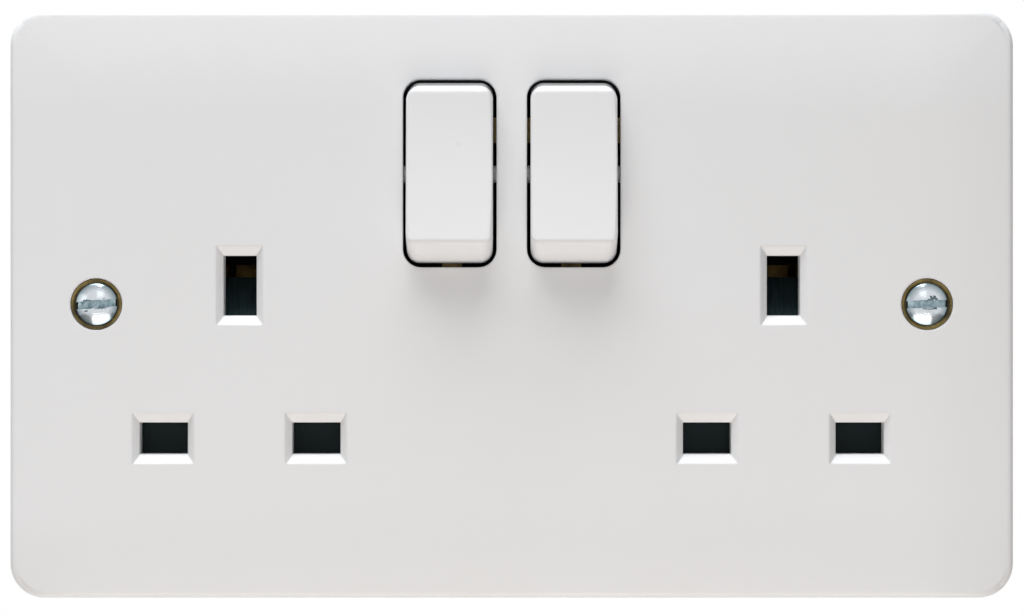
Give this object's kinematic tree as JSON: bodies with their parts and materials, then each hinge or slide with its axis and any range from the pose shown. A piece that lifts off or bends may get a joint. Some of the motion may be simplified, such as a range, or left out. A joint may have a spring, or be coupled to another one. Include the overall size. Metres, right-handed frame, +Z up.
{
  "type": "switched double socket",
  "caption": "Flush wall socket outlet with two switched three-pin outlets side by side, rocker switches, shutters and a rear housing with screw terminals.",
  "frame": {"origin": "midpoint between the fixing screws, on the wall plane", "axes": "+X to the right as seen from the front, +Y into the wall, +Z up"},
  "size_m": [0.146, 0.0356, 0.0856],
  "materials": {
    "white_plastic": "smooth moulded white, soft gloss",
    "housing_plastic": "moulded charcoal, matt",
    "black_plastic": "moulded black, satin",
    "brass": "stamped and turned brass",
    "eyelet_brass": "dulled brass",
    "screw_steel": "bright plated steel",
    "spring_steel": "drawn spring wire",
    "silver": "silver rivets"
  },
  "bodies": {
    "root": {"front_plate": "white_plastic", "rear_housing": "housing_plastic", "fixed_tips": "silver", "line_busbar": "brass", "line_outlet_left": "brass", "line_outlet_right": "brass", "neutral_busbar": "brass", "earth_bar": "brass", "line_terminal": "brass", "neutral_terminal": "brass", "earth_terminal_left": "brass", "earth_terminal_right": "brass", "line_clamp_screw": "screw_steel", "neutral_clamp_screw": "screw_steel", "earth_clamp_screw_left": "screw_steel", "earth_clamp_screw_right": "screw_steel", "fixing_screw_left": "screw_steel", "fixing_screw_right": "screw_steel", "eyelet_left": "eyelet_brass", "eyelet_right": "eyelet_brass", "assembly_screws": "screw_steel", "shutter_spring_left": "spring_steel", "shutter_spring_right": "spring_steel"},
    "rocker_left": {"rocker_left": "white_plastic", "plunger_spring_left": "spring_steel"},
    "plunger_left": {"plunger_left": "spring_steel"},
    "see_saw_left": {"moving_contact_left": "brass", "moving_tip_left": "silver"},
    "shutter_left": {"shutter_left": "black_plastic"},
    "rocker_right": {"rocker_right": "white_plastic", "plunger_spring_right": "spring_steel"},
    "plunger_right": {"plunger_right": "spring_steel"},
    "see_saw_right": {"moving_contact_right": "brass", "moving_tip_right": "silver"},
    "shutter_right": {"shutter_right": "black_plastic"}
  },
  "joints": [
    {"name": "rocker_left_rock", "type": "hinge", "parent": "root", "child": "rocker_left", "pos_m": [-0.009, -0.0055, 0.019], "axis": [1, 0, 0], "range_deg": [0, 14]},
    {"name": "see_saw_left_tip", "type": "hinge", "parent": "root", "child": "see_saw_left", "pos_m": [-0.009, 0.0097, 0.019], "axis": [1, 0, 0], "range_deg": [-21, 0]},
    {"name": "plunger_left_slide", "type": "slide", "parent": "rocker_left", "child": "plunger_left", "axis": [0, -0.9925, 0.1219], "range_m": [0, 0.001], "stiffness_N_per_m": 500, "springref_m": -0.002, "deforming": ["plunger_spring_left"]},
    {"name": "shutter_left_slide", "type": "slide", "parent": "root", "child": "shutter_left", "axis": [0, 0, -1], "range_m": [0, 0.0058], "stiffness_N_per_m": 100, "springref_m": -0.004, "deforming": ["shutter_spring_left"]},
    {"name": "rocker_right_rock", "type": "hinge", "parent": "root", "child": "rocker_right", "pos_m": [0.009, -0.0055, 0.019], "axis": [1, 0, 0], "range_deg": [0, 14]},
    {"name": "see_saw_right_tip", "type": "hinge", "parent": "root", "child": "see_saw_right", "pos_m": [0.009, 0.0097, 0.019], "axis": [1, 0, 0], "range_deg": [-21, 0]},
    {"name": "plunger_right_slide", "type": "slide", "parent": "rocker_right", "child": "plunger_right", "axis": [0, -0.9925, 0.1219], "range_m": [0, 0.001], "stiffness_N_per_m": 500, "springref_m": -0.002, "deforming": ["plunger_spring_right"]},
    {"name": "shutter_right_slide", "type": "slide", "parent": "root", "child": "shutter_right", "axis": [0, 0, -1], "range_m": [0, 0.0058], "stiffness_N_per_m": 100, "springref_m": -0.004, "deforming": ["shutter_spring_right"]}
  ],
  "couplings": [
    {"joint": "see_saw_left_tip", "follows": "rocker_left_rock", "ratio": -1.5},
    {"joint": "see_saw_right_tip", "follows": "rocker_right_rock", "ratio": -1.5}
  ]
}
